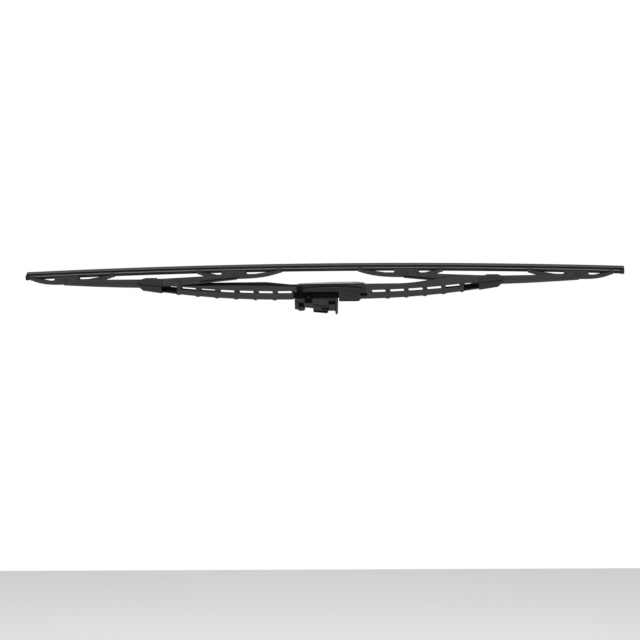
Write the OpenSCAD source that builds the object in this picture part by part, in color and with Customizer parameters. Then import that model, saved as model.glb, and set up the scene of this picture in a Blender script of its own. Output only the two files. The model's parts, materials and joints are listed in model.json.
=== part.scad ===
// Bracket wiper blade for a hook arm, shown with its rubber lip up.
// X runs along the blade, Z points to the lip, and the arm pin's axis is at the origin.
// In the modules, X starts at the middle of the bridge, and a depth is measured down from
// the lip: Z is minus the depth. Module blade() then moves each piece onto the arm pin.

/* [Lever system] */
// Distance from the middle of the bridge to each bridge pivot
bridge_reach = 184.5; // [175:0.5:195]
// Distance from a lever's own pivot to each of its two yoke pivots
lever_reach = 91.2; // [88:0.1:96]
// Yoke arm that points to the middle of the blade, pivot to claw
yoke_long = 50; // [46:0.5:54]
// Yoke arm that points to the end of the blade, pivot to claw
yoke_short = 37.2; // [35:0.2:41]
// Depth of the bridge pivots below the lip
main_pivot_depth = 20.8; // [20:0.1:22]
// Depth of the yoke pivots below the back of the strip
yoke_pivot_drop = 1.85; // [1.8:0.05:2.2]
// Radius of the bow that the free strip has
bow_radius = 8500; // [7500:100:10000]
// Place of the arm pin along the blade, from the middle of the bridge
arm_pin_x = -12.3; // [-14:0.1:-10]
// Height of the arm pin above the bridge's back
arm_pin_rise = 2.1; // [2:0.1:2.4]

/* [Rubber strip] */
// Strip past the last claw at the left end
tail_left = 8; // [6:0.1:14]
// Strip past the last claw at the right end
tail_right = 14.2; // [8:0.1:18]
// Width of the wiping edge
lip_edge = 0.8; // [0.6:0.1:1.2]
// Width of the lip's foot
lip_foot = 3.6; // [3:0.1:4.4]
// Height of the lip
lip_height = 2.7; // [2.2:0.1:3]
// Width of the hinge neck that lets the lip flip over
neck_width = 1.1; // [0.9:0.1:1.6]
// Height of the hinge neck
neck_height = 0.9; // [0.7:0.1:1.1]
// Width of the strip's body
body_width = 6.6; // [6:0.1:6.8]
// Height of the shoulder above the rail grooves
shoulder_height = 1; // [0.8:0.1:1.3]
// Width of the spine between the rail grooves
spine_width = 3.2; // [2.8:0.1:3.6]
// Height of the back behind the rail grooves
back_height = 2.75; // [2.4:0.05:3]
// Length of the thickened end of the strip
end_block_length = 4.6; // [3:0.1:5.5]
// How far the thickened end stands out on each side
end_block_proud = 0.9; // [0.5:0.1:1.2]

/* [Spring rails] */
// Width of one flat spring rail
rail_width = 2.6; // [2.2:0.1:3]
// Thickness of a rail
rail_thickness = 1; // [0.8:0.1:1.2]
// Gap between a rail and its groove
rail_gap = 0.1; // [0.05:0.01:0.15]

/* [Yokes] */
// Sheet thickness of a yoke
yoke_sheet = 0.9; // [0.7:0.1:1]
// Side gap between a yoke and the rails
claw_side_gap = 0.3; // [0.2:0.05:0.4]
// Gap between the strip's back and a yoke's claw
claw_floor_gap = 0.15; // [0.1:0.01:0.3]
// Gap between the top of a rail and the claw's lip
claw_lip_gap = 0.2; // [0.15:0.01:0.3]
// Height of the lip of a claw
claw_lip_height = 0.8; // [0.6:0.1:0.9]
// Length of a claw along the blade
claw_length = 3.8; // [3:0.1:4.5]
// How far a yoke arches out below its claws
yoke_arch = 5.65; // [5:0.05:5.8]
// Half length of the saddle around a yoke's pivot
saddle_half = 13.2; // [12:0.1:15]
// Depth of the open slit between a yoke's arm and the strip
slit_height = 1.85; // [1.5:0.05:2]
// Length of the slit on the long arm
slit_long = 21; // [18:0.5:24]
// Length of the slit on the short arm
slit_short = 12.5; // [10:0.5:14]

/* [Levers] */
// Sheet thickness of a lever
lever_sheet = 1; // [0.8:0.1:1.1]
// Side gap between a yoke and its lever, for the liner
liner_gap = 0.6; // [0.5:0.05:0.7]
// Lever wall above the lever's own pivot
lever_above = 5.3; // [4.8:0.1:5.8]
// Lever wall below the lever's own pivot
lever_below = 3.5; // [3.3:0.1:3.8]
// Radius of the ear around a yoke's pivot
ear_radius = 3.9; // [3.7:0.1:4]
// Ear wall below a yoke's pivot
ear_below = 5.8; // [5.6:0.1:6.2]
// Length at each end of a lever that has no web, so that the yoke can swing
fork_length = 32; // [30:0.5:36]
// Depth of the pressed crease line in a lever's sides
crease_depth = 0.35; // [0.2:0.05:0.5]
// Height of the crease line
crease_height = 0.9; // [0.6:0.1:1.2]

/* [Bridge] */
// Sheet thickness of the bridge
bridge_sheet = 1; // [0.8:0.1:1.2]
// Side gap between a lever and the bridge, for the bushes
bush_gap = 0.9; // [0.8:0.05:1]
// Depth of the bridge's back at its middle
crown_depth = 38.6; // [38.2:0.1:39]
// Half length of the straight middle of the bridge
crown_half = 38; // [34:0.5:42]
// Bridge wall below each pivot
shoulder_below = 6.4; // [6:0.1:6.8]
// Bridge wall above each pivot
shoulder_above = 5.8; // [5.4:0.1:6]
// Height of the side walls near the middle
wall_height = 15.8; // [15.2:0.1:15.8]
// Height of the taller far wall of the left arm
tall_wall_height = 18.7; // [17.6:0.1:19.2]
// Where the taller wall starts to rise, from the end of the straight middle
tall_wall_start = -6; // [-10:0.5:0]
// Where the taller wall reaches its height, from the end of the straight middle
tall_wall_full = 22; // [15:0.5:30]
// How far the left near wall dips at the housing
near_dip = 2; // [1:0.1:2.4]
// Where the left near wall has its full height, from the bridge's middle
near_dip_end = 90; // [80:1:100]
// Length before each pivot at which the right arm's walls start to rise
slow_rise_start = 100; // [90:1:110]
// Length before each pivot at which the left near wall starts to rise
quick_rise_start = 34; // [32:0.5:36]
// Length before each pivot at which the left far wall starts to rise
tall_rise_start = 44; // [40:0.5:50]
// Length before each pivot at which every wall has its full height
rise_end = 27; // [25:0.5:28]
// Bridge past each pivot
bridge_end = 9.5; // [8.5:0.5:10]
// Height of the row of slots above the bridge's back
slot_row_rise = 7.8; // [7.4:0.1:8]
// Drop of the row's line below the pivots
slot_row_drop = 0.55; // [0.3:0.05:0.9]
// Height of a slot
slot_height = 2.6; // [2.2:0.1:3]
// Width of the posts between slots
post_width = 4.3; // [3.5:0.1:5]
// Distance from a bridge pivot to the first post
first_post = 31.5; // [30:0.5:33]
// Extra height of the outermost slot
outer_slot_extra = 0.4; // [0:0.1:0.6]
// Height of the narrow slot in the far wall beyond the first post
far_slot_height = 1.2; // [0.8:0.1:1.6]
// Length of that slot
far_slot_length = 8; // [6:0.5:10]
// How much less tall the far wall's outermost slots are, at their lower edge
far_slot_lift = 1; // [0.6:0.1:1.4]
// Pitch of the posts of the left arm
pitch_left = 20.8; // [19:0.1:23]
// Pitch of the posts of the right arm
pitch_right = 20; // [19:0.1:23]
// Place where the left row of slots stops, from the bridge's middle
row_stop_left = 30.5; // [30:0.5:33]
// Place where the right row of slots stops, from the bridge's middle
row_stop_right = 55.6; // [54:0.2:58]
// Radius of the rounded bump under each post
bump_radius = 4.5; // [3.5:0.1:5.5]
// How far a bump stands out
bump_proud = 0.9; // [0.5:0.1:1.2]
// Height of the pocket where the housing snaps in, above the bridge's back
pocket_rise = 3.4; // [3:0.1:3.8]
// Height of the pocket
pocket_height = 2.8; // [2.2:0.1:3]
// Length of the pocket
pocket_length = 7.4; // [6:0.1:8]

/* [Rivets and bushes] */
// Radius of a main rivet
main_rivet_r = 2.2; // [2:0.1:2.3]
// Radius of a yoke rivet
yoke_rivet_r = 1.4; // [1.2:0.05:1.4]
// Radius of the arm pin
arm_pin_r = 2; // [1.8:0.1:2.2]
// Wall of a bush's sleeve
bush_wall = 0.7; // [0.5:0.05:0.8]
// Radius of a main bush's flange
bush_flange_r = 4.6; // [4:0.1:5]
// Radius of a yoke liner's flange
liner_flange_r = 3; // [2.6:0.1:3.2]
// Height of a yoke rivet's head
rivet_head = 0.5; // [0.4:0.05:0.6]
// Radius of a yoke rivet's head
rivet_head_r = 2.5; // [2.2:0.1:2.8]
// Height of a main rivet's head
main_head = 0.4; // [0.3:0.05:0.4]
// Radius of a main rivet's head
main_head_r = 3.2; // [2.8:0.1:3.6]
// Radial running fit of every pin and bush
fit = 0.05; // [0.02:0.01:0.08]

/* [Joint covers] */
// Wall of a joint cover
cover_wall = 1.1; // [1:0.1:1.4]
// Length of a cover from the pivot towards the middle
cover_inner = 13; // [12:0.5:14]
// Length of a cover from the pivot towards the end
cover_outer = 12; // [11:0.5:13]
// Cover above each pivot
cover_above = 6.7; // [6.4:0.1:7]

/* [Centre housing] */
// Left end of the housing, from the bridge's middle
housing_left = -25; // [-27:0.1:-23.5]
// Right end of the housing, from the bridge's middle
housing_right = 49.3; // [48:0.1:50.5]
// Wall of the housing's sides
housing_wall = 2.1; // [1.8:0.1:2.6]
// Thickness of the housing's roof
housing_roof = 1; // [0.8:0.1:1.2]
// Radius of the housing's long upper edges
housing_round = 2; // [1.6:0.1:2.4]
// How far the middle of the roof stands above its ends
roof_crown = 1.2; // [0.6:0.1:1.6]
// Length of the roof's long slope at the left
roof_slope_left = 40; // [34:0.5:44]
// Length of the roof's short slope at the right
roof_slope_right = 13; // [11:0.5:16]
// Thickness of the housing's floor under the bridge
housing_floor = 2.3; // [1.8:0.1:2.6]
// Height of the window's upper edge above the arm pin
window_rise = 5.8; // [5.4:0.1:6.6]
// Left edge of the window in the bridge, from the bridge's middle
window_left = -28.8; // [-29.6:0.1:-28.4]
// Right edge of the window, from the bridge's middle
window_right = 20.6; // [20.5:0.1:21.5]
// Half width of the tongue that holds the arm pin
tongue_half = 4.2; // [3.8:0.1:4.3]
// How far the raised brow stands out of the housing's sides
brow_proud = 0.5; // [0.3:0.1:0.8]
// Radius of the brow's bulge
brow_bead = 3; // [2.6:0.1:3.4]
// Rise of the brow's arch from its ends to its middle
brow_rise = 2.8; // [2:0.1:3.4]
// How far the sides are set back between the brow and the roof's edge
brow_recess = 0.7; // [0.4:0.1:0.9]

/* [Arm clip] */
// Width of the slot for the arm's hook
hook_width = 9.4; // [9.2:0.1:9.8]
// Radius of the nose that the hook goes round
nose_radius = 5; // [4.6:0.1:5.2]
// Outer width of the clip between the bridge's walls
clip_width = 14.6; // [14:0.1:14.8]
// Length of the clip
clip_length = 46.4; // [45:0.1:47]
// Radius of the button that locks in the hook's hole
button_radius = 2.3; // [2:0.1:2.5]
// How far the button stands out of the spine
button_height = 1.5; // [1.2:0.1:1.8]
// Distance from the arm pin to the button
button_x = 14; // [12:0.5:16]
// How far the clip's raised panels stand out on each side
panel_proud = 1.4; // [1:0.1:1.5]
// Depth of the recesses in the clip's sides
recess_depth = 1.6; // [0.8:0.1:2]
// How far the clip's cheeks reach up behind the window, above the arm pin
cheek_rise = 7.4; // [7.1:0.1:7.6]

/* [Hidden] */
$fn = 64;

steel = [0.20, 0.20, 0.21];
plastic = [0.13, 0.13, 0.14];
rubber = [0.17, 0.16, 0.15];
spring_steel = [0.45, 0.42, 0.40];
bright_steel = [0.55, 0.55, 0.56];
LEFT = -1;
RIGHT = 1;
INNER = -1;
OUTER = 1;
far = 60;

// Section of the strip
groove_height = rail_thickness + 2 * rail_gap;
shoulder_depth = lip_height + neck_height;
groove_depth = shoulder_depth + shoulder_height;
strip_height = groove_depth + groove_height + back_height;
rail_inner = spine_width / 2 + rail_gap;
rail_outer = rail_inner + rail_width;

// Half widths of the nested channels, from the strip outwards
yoke_inner = rail_outer + claw_side_gap;
yoke_outer = yoke_inner + yoke_sheet;
lever_inner = yoke_outer + liner_gap;
lever_outer = lever_inner + lever_sheet;
bridge_inner = lever_outer + bush_gap;
bridge_outer = bridge_inner + bridge_sheet;
skin_gap = 0.1;
cover_side = bridge_outer + main_head + skin_gap;
housing_inner = bridge_outer + skin_gap;
housing_outer = housing_inner + housing_wall;

// Angles on the strip's bow of the levers and yokes
yoke_pivot_depth = strip_height + yoke_pivot_drop;
lever_angle = atan2(bridge_reach, bow_radius - main_pivot_depth);
yoke_angle = asin(lever_reach / (bow_radius - yoke_pivot_depth));
lever_pivot_depth = bow_radius - norm([bridge_reach, bow_radius - main_pivot_depth]);
arc_per_mm = 180 / (PI * bow_radius);
reach_angle = lever_angle + yoke_angle + yoke_short * arc_per_mm;
left_angle = reach_angle + tail_left * arc_per_mm;
right_angle = reach_angle + tail_right * arc_per_mm;

// Depths in a lever's own frame, where the lip above the lever's pivot is zero
ear_depth = bow_radius - (bow_radius - yoke_pivot_depth) * cos(yoke_angle);
ear_bottom = ear_depth + ear_below;
lever_bottom_mid = lever_pivot_depth + lever_below;
lever_top_mid = lever_pivot_depth - lever_above;
lever_top_end = ear_depth + 0.6;

// Depths that hang on the bridge's back and on the pivots
arm_pin_depth = crown_depth - arm_pin_rise;
window_top = arm_pin_depth - window_rise;
wall_top = crown_depth - wall_height;
tall_wall_top = crown_depth - tall_wall_height;
shoulder_top = main_pivot_depth - shoulder_above;
slot_row_depth = crown_depth - slot_row_rise;
cover_top = main_pivot_depth - cover_above;

// How far the bowed strip drops below its tangent
function sag(x) = x * x / (2 * bow_radius);
function smooth(t) = let (c = max(0, min(1, t))) c * c * (3 - 2 * c);
function mix(a, b, t) = a + (b - a) * t;

module blade() {
    translate([-arm_pin_x, 0, arm_pin_depth])
        children();
}

// Puts a piece, drawn under the lip at mid-blade, under the lip at an angle of the bow
module on_bow(angle) {
    translate([0, 0, -bow_radius])
        rotate([0, angle, 0])
            translate([0, 0, bow_radius])
                children();
}

// Draws the right half's piece, or its mirror image for the left half
module on_side(side) {
    if (side == RIGHT)
        children();
    else
        mirror([1, 0, 0])
            children();
}

module on_lever(side) {
    blade()
        on_side(side)
            on_bow(lever_angle)
                children();
}

module on_yoke(side, end) {
    blade()
        on_side(side)
            on_bow(lever_angle + end * yoke_angle)
                children();
}

// A side outline as a plate that runs in Y from y0 to y1
module plate(y0, y1) {
    translate([0, y1, 0])
        rotate([90, 0, 0])
            linear_extrude(y1 - y0)
                children();
}

module both_sides(y0, y1) {
    plate(y0, y1)
        children();
    plate(-y1, -y0)
        children();
}

// A round bar along Y, or its hole, between y0 and y1
module bar(x, depth, r, y0, y1) {
    translate([x, y1, -depth])
        rotate([90, 0, 0])
            cylinder(r = r, h = y1 - y0);
}

module through_bore(x, depth, r) {
    bar(x, depth, r, -far, far);
}

module box_xz(x0, x1, depth0, depth1) {
    translate([x0, -depth1])
        square([x1 - x0, depth1 - depth0]);
}

// A section, drawn as [radius of the bow, Y], carried along the strip's bow
module bowed(from_left, from_right) {
    blade()
        translate([0, 0, -bow_radius])
            rotate([90, 0, 0])
                rotate([0, 0, 90 - from_right])
                    rotate_extrude(angle = from_left + from_right, $fn = 2400)
                        children();
}

// Half of the strip's section, from the wiping edge to the back, as [depth, Y]
function strip_half() = [
    [0, lip_edge / 2],
    [lip_height * 0.35, lip_edge / 2 + 0.1],
    [lip_height, lip_foot / 2],
    [lip_height, neck_width / 2],
    [shoulder_depth, neck_width / 2],
    [shoulder_depth + 0.25, body_width / 2 - 0.3],
    [shoulder_depth + 0.5, body_width / 2],
    [groove_depth, body_width / 2],
    [groove_depth, spine_width / 2],
    [groove_depth + groove_height, spine_width / 2],
    [groove_depth + groove_height, body_width / 2],
    [strip_height - back_height * 0.45, body_width / 2],
    [strip_height - back_height * 0.12, body_width / 2 - 0.5],
    [strip_height, body_width / 2 - 1.3]
];

module strip_section() {
    half = strip_half();
    last = len(half) - 1;
    polygon([
        for (p = half) [bow_radius - p[0], p[1]],
        for (i = [0 : last]) [bow_radius - half[last - i][0], -half[last - i][1]]
    ]);
}

// The thickened end keeps the rails from sliding out and stops against the claw
module end_block_section() {
    proud = body_width / 2 + end_block_proud;
    top = shoulder_depth + 0.1;
    bottom = strip_height + 0.35;
    round = 1;
    for (s = [-1, 1])
        for (d = [top + round, bottom - round])
            translate([bow_radius - d, s * (proud - round)])
                circle(r = round);
    translate([bow_radius - bottom, -proud + round])
        square([bottom - top, 2 * (proud - round)]);
    translate([bow_radius - bottom + round, -proud])
        square([bottom - top - 2 * round, 2 * proud]);
}

module rubber_strip() {
    block = end_block_length * arc_per_mm;
    color(rubber) {
        bowed(left_angle, right_angle)
            strip_section();
        bowed(left_angle, block - left_angle)
            end_block_section();
        bowed(block - right_angle, right_angle)
            end_block_section();
    }
}

// A rail lies in the groove of one side, between the strip's thickened ends
module spring_rail(side) {
    stop = (end_block_length + 0.3) * arc_per_mm;
    y = side > 0 ? rail_inner : -rail_outer;
    color(spring_steel)
        bowed(left_angle - stop, right_angle - stop)
            translate([bow_radius - groove_depth - groove_height + rail_gap, y])
                square([rail_thickness, rail_width]);
}

module spring_rail_front() {
    spring_rail(-1);
}

module spring_rail_rear() {
    spring_rail(1);
}

// Yokes, drawn with the short arm to the right and the pivot under the lip at x = 0
claw_floor = strip_height + claw_floor_gap;
claw_lip_depth = groove_depth + rail_gap - claw_lip_gap;
claw_top = claw_lip_depth - claw_lip_height;
// A yoke's back is this much deeper than its claws' backs, so that the two join cleanly
claw_step = 0.15;
yoke_steps = 22;

function arm_length(x) = x < 0 ? yoke_long : yoke_short;
function yoke_bottom(x) =
    claw_floor + yoke_sheet + claw_step + sag(x)
    + yoke_arch * (1 - pow(abs(x) / arm_length(x), 3));
function yoke_xs() = [
    for (i = [0 : yoke_steps]) mix(-yoke_long, yoke_short, i / yoke_steps)
];

// Upper edge of a yoke's side walls, from the short arm's claw to the long arm's
function yoke_upper() =
    let (
        arm_top = groove_depth + groove_height + 1.4,
        slit_end = strip_height + 0.3,
        slit_floor = strip_height + slit_height
    ) [
        [yoke_short, arm_top],
        [saddle_half + slit_short, slit_end],
        [saddle_half + slit_short * 0.5, slit_floor],
        [saddle_half + 1, slit_floor],
        [saddle_half, slit_floor - 0.9],
        [saddle_half, groove_depth + groove_height + 0.5],
        [-saddle_half, groove_depth + groove_height + 0.5],
        [-saddle_half, slit_floor - 0.9],
        [-saddle_half - 1, slit_floor],
        [-saddle_half - slit_long * 0.45, slit_floor],
        [-saddle_half - slit_long, slit_end],
        [-yoke_long, arm_top]
    ];

module yoke_outline() {
    polygon([
        for (x = yoke_xs()) [x, -yoke_bottom(x)],
        for (p = yoke_upper()) [p[0], -p[1]]
    ]);
}

module yoke_cavity() {
    polygon([
        for (x = yoke_xs()) [x, yoke_sheet - yoke_bottom(x)],
        [yoke_short, 1],
        [-yoke_long, 1]
    ]);
}

module claw(x) {
    lip_inner = body_width / 2 + 0.2;
    translate([x, 0, -sag(x)])
        difference() {
            plate(-yoke_outer, yoke_outer)
                box_xz(-claw_length / 2, claw_length / 2, claw_top, claw_floor + yoke_sheet);
            plate(-yoke_inner, yoke_inner)
                box_xz(-far, far, claw_lip_depth, claw_floor);
            plate(-lip_inner, lip_inner)
                box_xz(-far, far, 0, claw_floor);
        }
}

module yoke(side, end) {
    color(steel)
        on_yoke(side, end) {
            difference() {
                plate(-yoke_outer, yoke_outer)
                    yoke_outline();
                plate(-yoke_inner, yoke_inner)
                    yoke_cavity();
                through_bore(0, yoke_pivot_depth, yoke_rivet_r + bush_wall + 2 * fit);
            }
            claw(-yoke_long);
            claw(yoke_short);
        }
}

module yoke_rivet(side, end) {
    color(bright_steel)
        on_yoke(side, end) {
            bar(0, yoke_pivot_depth, yoke_rivet_r, -lever_outer, lever_outer);
            bar(0, yoke_pivot_depth, rivet_head_r, lever_outer, lever_outer + rivet_head);
            bar(0, yoke_pivot_depth, rivet_head_r, -lever_outer - rivet_head, -lever_outer);
        }
}

// A flanged sleeve in each side wall: it fills the wall and the gap to the next channel
module flanged_sleeve(depth, bore_r, flange_r, wall_in, wall_out, flange) {
    difference() {
        union() {
            bar(0, depth, bore_r + bush_wall, wall_in, wall_out + skin_gap);
            bar(0, depth, flange_r, wall_out + skin_gap, wall_out + skin_gap + flange);
        }
        through_bore(0, depth, bore_r);
    }
}

module sleeve_pair(depth, bore_r, flange_r, wall_in, wall_out, flange) {
    flanged_sleeve(depth, bore_r, flange_r, wall_in, wall_out, flange);
    mirror([0, 1, 0])
        flanged_sleeve(depth, bore_r, flange_r, wall_in, wall_out, flange);
}

module yoke_liners(side, end) {
    color(plastic)
        on_yoke(side, end)
            sleeve_pair(yoke_pivot_depth, yoke_rivet_r + fit, liner_flange_r,
                yoke_inner, yoke_outer, liner_gap - 2 * skin_gap);
}

module main_bushes(side) {
    color(plastic)
        on_lever(side)
            sleeve_pair(lever_pivot_depth, main_rivet_r + fit, bush_flange_r,
                lever_inner, lever_outer, bush_gap - 2 * skin_gap);
}

module main_rivet(side) {
    color(bright_steel)
        on_lever(side) {
            bar(0, lever_pivot_depth, main_rivet_r, -bridge_outer, bridge_outer);
            bar(0, lever_pivot_depth, main_head_r, bridge_outer, bridge_outer + main_head);
            bar(0, lever_pivot_depth, main_head_r, -bridge_outer - main_head, -bridge_outer);
        }
}

// Levers, drawn with their own pivot under the lip at x = 0
lever_steps = 24;
lever_tip = lever_reach + ear_radius;
function lever_bottom(x) =
    mix(lever_bottom_mid, ear_bottom, pow(abs(x) / (lever_tip - 1), 1.35));
function lever_top(x) = mix(lever_top_mid, lever_top_end, abs(x) / (lever_reach - 11));
function lever_xs() = [
    for (i = [0 : lever_steps]) mix(1.5 - lever_tip, lever_tip - 1.5, i / lever_steps)
];
// Height of the crease line above the lever's bottom edge
function crease_rise(x) = mix(4.4, 2.2, abs(x) / lever_reach);

module lever_outline() {
    polygon([
        for (x = lever_xs()) [x, -lever_bottom(x)],
        [lever_tip, 1.2 - ear_bottom],
        [lever_tip, -ear_depth],
        [lever_reach - 3.5, 0.9 * ear_radius - ear_depth],
        [lever_reach - 7, ear_radius - 0.6 - ear_depth],
        [lever_reach - 11, -lever_top_end],
        [0, -lever_top_mid],
        [11 - lever_reach, -lever_top_end],
        [7 - lever_reach, ear_radius - 0.6 - ear_depth],
        [3.5 - lever_reach, 0.9 * ear_radius - ear_depth],
        [-lever_tip, -ear_depth],
        [-lever_tip, 1.2 - ear_bottom]
    ]);
    for (s = [-1, 1])
        translate([s * lever_reach, -ear_depth])
            circle(r = ear_radius);
}

module lever_cavity() {
    fork = lever_reach - fork_length;
    polygon([
        for (x = lever_xs()) [x, lever_sheet - lever_bottom(x)],
        [far * 2, lever_sheet - ear_bottom],
        [far * 2, 1],
        [-far * 2, 1],
        [-far * 2, lever_sheet - ear_bottom]
    ]);
    for (s = [-1, 1])
        translate([s > 0 ? fork : -far * 2, -far])
            square([far * 2 - fork, far]);
}

module crease_outline() {
    xs = lever_xs();
    first = 1;
    last = len(xs) - 2;
    polygon([
        for (i = [first : last]) [xs[i], crease_rise(xs[i]) - lever_bottom(xs[i])],
        for (i = [last : -1 : first])
            [xs[i], crease_rise(xs[i]) + crease_height - lever_bottom(xs[i])]
    ]);
}

module lever(side) {
    color(steel)
        on_lever(side)
            difference() {
                plate(-lever_outer, lever_outer)
                    lever_outline();
                plate(-lever_inner, lever_inner)
                    lever_cavity();
                both_sides(lever_outer - crease_depth, far)
                    crease_outline();
                through_bore(0, lever_pivot_depth, main_rivet_r + bush_wall + 2 * fit);
                for (s = [-1, 1])
                    through_bore(s * lever_reach, ear_depth, yoke_rivet_r + fit);
            }
}

// Bridge outline
bridge_tip = bridge_reach + bridge_end;
bridge_steps = 48;
web_end = bridge_reach + 3;
post_start = bridge_reach - first_post;
cover_start = bridge_reach - cover_inner;

// Beyond its straight middle the back rises as a parabola that passes under the pivots,
// and so does the row of slots
function climb(x) = pow(max(abs(x) - crown_half, 0) / (bridge_reach - crown_half), 2);
function bridge_bottom(x) = mix(crown_depth, main_pivot_depth + shoulder_below, climb(x));
function slot_centre(x) = mix(slot_row_depth, main_pivot_depth + slot_row_drop, climb(x));
function bridge_xs() = [
    for (i = [0 : bridge_steps]) mix(-bridge_tip, bridge_tip, i / bridge_steps)
];
function pitch(side) = side == LEFT ? pitch_left : pitch_right;
function row_stop(side) = side == LEFT ? row_stop_left : row_stop_right;
function post_count(side) = 1 + floor((post_start - row_stop(side)) / pitch(side));
function post_x(side, i) = post_start - i * pitch(side);

// Upper edge of one arm's wall, from the middle outwards, as [x, depth]. It goes from the
// depth at the middle to its own between two places, and rises to cover the lever's pivot.
function wall_edge(middle, start, full, top, rise_from, rise_to) = [
    [0, middle],
    [start, middle],
    [full, top],
    for (i = [0 : 8])
        let (t = i / 8) [mix(rise_from, rise_to, t), mix(top, shoulder_top, smooth(t))],
    [bridge_reach + bridge_end / 2, shoulder_top],
    [bridge_tip, shoulder_top + bridge_end / 3]
];
full_rise = bridge_reach - rise_end;
tall_start = crown_half + tall_wall_start;
tall_full = crown_half + tall_wall_full;
dip_start = -housing_left - 0.5;
slow_rise = wall_edge(wall_top, tall_start, tall_full, wall_top,
    bridge_reach - slow_rise_start, full_rise);
quick_rise = wall_edge(wall_top + near_dip, dip_start, near_dip_end, wall_top,
    bridge_reach - quick_rise_start, full_rise - 1);
tall_rise = wall_edge(wall_top, tall_start, tall_full, tall_wall_top,
    bridge_reach - tall_rise_start, full_rise);

module wall_outline(left_edge, right_edge) {
    last = len(right_edge) - 1;
    polygon([
        for (x = bridge_xs()) [x, -bridge_bottom(x)],
        for (i = [last : -1 : 0]) [right_edge[i][0], -right_edge[i][1]],
        for (p = left_edge) [-p[0], -p[1]]
    ]);
}

// Round bumps under the posts, as the lower caps of circles
module bumps() {
    cap = bump_proud + bridge_sheet / 2;
    for (side = [LEFT, RIGHT])
        for (i = [0 : post_count(side) - 1])
            let (x = side * post_x(side, i))
                translate([x, bump_radius - bump_proud - bridge_bottom(x)])
                    intersection() {
                        circle(r = bump_radius);
                        translate([-bump_radius, -bump_radius - 1])
                            square([2 * bump_radius, cap + 1]);
                    }
}

// The channel's inside: all above the web, and where the web is cut away
module bridge_cavity() {
    polygon([
        for (x = bridge_xs()) [x, bridge_sheet - bridge_bottom(x)],
        [bridge_tip, 1],
        [-bridge_tip, 1]
    ]);
    box_xz(window_left - 3.5, window_right + 4.4, 0, far);
    box_xz(web_end, bridge_tip + 1, 0, far);
    box_xz(-bridge_tip - 1, -web_end, 0, far);
}

// What the lower near wall of the left arm leaves out of the taller far one
module near_trim() {
    last = len(quick_rise) - 1;
    above = 1 - min(shoulder_top, tall_wall_top);
    polygon([
        for (i = [1 : last - 2]) [-quick_rise[i][0], -quick_rise[i][1]],
        [-quick_rise[last - 2][0], above],
        [-quick_rise[1][0], above]
    ]);
}

// A slot between two places of the row, with round ends. Its lower edge may be lifted.
module slot(x0, x1, height, lift) {
    r = (height - lift) / 2;
    p = [min(x0, x1) + r, lift / 2 - slot_centre(min(x0, x1) + r)];
    q = [max(x0, x1) - r, lift / 2 - slot_centre(max(x0, x1) - r)];
    run = norm(q - p);
    translate(p)
        rotate(atan2(q[1] - p[1], q[0] - p[0])) {
            circle(r = r);
            translate([run, 0])
                circle(r = r);
            translate([0, -r])
                square([run, 2 * r]);
        }
}

// The slots of one arm, of which the given number of outermost ones are less tall
module slot_row(side, low_slots) {
    count = post_count(side);
    for (i = [0 : count - 1])
        let (
            outer = post_x(side, i) - post_width / 2,
            inner = i < count - 1 ? post_x(side, i + 1) + post_width / 2 : row_stop(side)
        )
            slot(side * outer, side * inner, slot_height + (i == 0 ? outer_slot_extra : 0),
                i < low_slots ? far_slot_lift : 0);
}

// Open window in the near wall between the first post and the joint cover, down to the web
module end_window(side) {
    x0 = post_start + post_width / 2;
    x1 = cover_start + 2;
    polygon([
        [side * x0, slot_height / 2 - slot_centre(x0)],
        [side * x1, slot_height / 2 - slot_centre(x1)],
        [side * x1, bridge_sheet - bridge_bottom(x1)],
        [side * x0, bridge_sheet - bridge_bottom(x0)]
    ]);
}

// Narrow slot in the far wall that shows in the upper corner of an end window
module far_slot(side) {
    x0 = post_start + post_width / 2 + 0.8;
    x1 = x0 + far_slot_length;
    high = slot_height / 2;
    polygon([
        [side * x0, high - slot_centre(x0)],
        [side * x1, high - slot_centre(x1)],
        [side * x1, high - far_slot_height - slot_centre(x1)],
        [side * x0, high - far_slot_height - slot_centre(x0)]
    ]);
}

module adapter_window() {
    difference() {
        box_xz(window_left, window_right, window_top, far);
        pin_tongue();
    }
}

module pin_tongue() {
    translate([arm_pin_x, -arm_pin_depth])
        circle(r = tongue_half);
    box_xz(arm_pin_x - tongue_half, arm_pin_x + tongue_half, window_top - 1, arm_pin_depth);
}

// Pocket where the housing snaps in: through the near side, and shallow in the far one
module snap_pocket() {
    middle = housing_right - 2;
    low = crown_depth - pocket_rise;
    box_xz(middle - pocket_length / 2, middle + pocket_length / 2, low - pocket_height, low);
}

module primary_bridge() {
    color(steel)
        blade()
            difference() {
                plate(-bridge_outer, bridge_outer) {
                    wall_outline(tall_rise, slow_rise);
                    bumps();
                }
                plate(-bridge_inner, bridge_inner)
                    bridge_cavity();
                plate(-far, 0)
                    near_trim();
                plate(-far, far)
                    adapter_window();
                plate(-far, 0) {
                    slot_row(LEFT, 0);
                    slot_row(RIGHT, 0);
                    end_window(LEFT);
                    end_window(RIGHT);
                    snap_pocket();
                }
                plate(bridge_outer - 0.6 * bridge_sheet, far)
                    snap_pocket();
                plate(0, far) {
                    slot_row(LEFT, 2);
                    slot_row(RIGHT, 1);
                    far_slot(LEFT);
                    far_slot(RIGHT);
                }
                through_bore(arm_pin_x, arm_pin_depth, arm_pin_r + fit);
                for (s = [LEFT, RIGHT])
                    through_bore(s * bridge_reach, main_pivot_depth, main_rivet_r + fit);
            }
}

// Joint covers, drawn at the right end
cover_face = cover_side + cover_wall;

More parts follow.
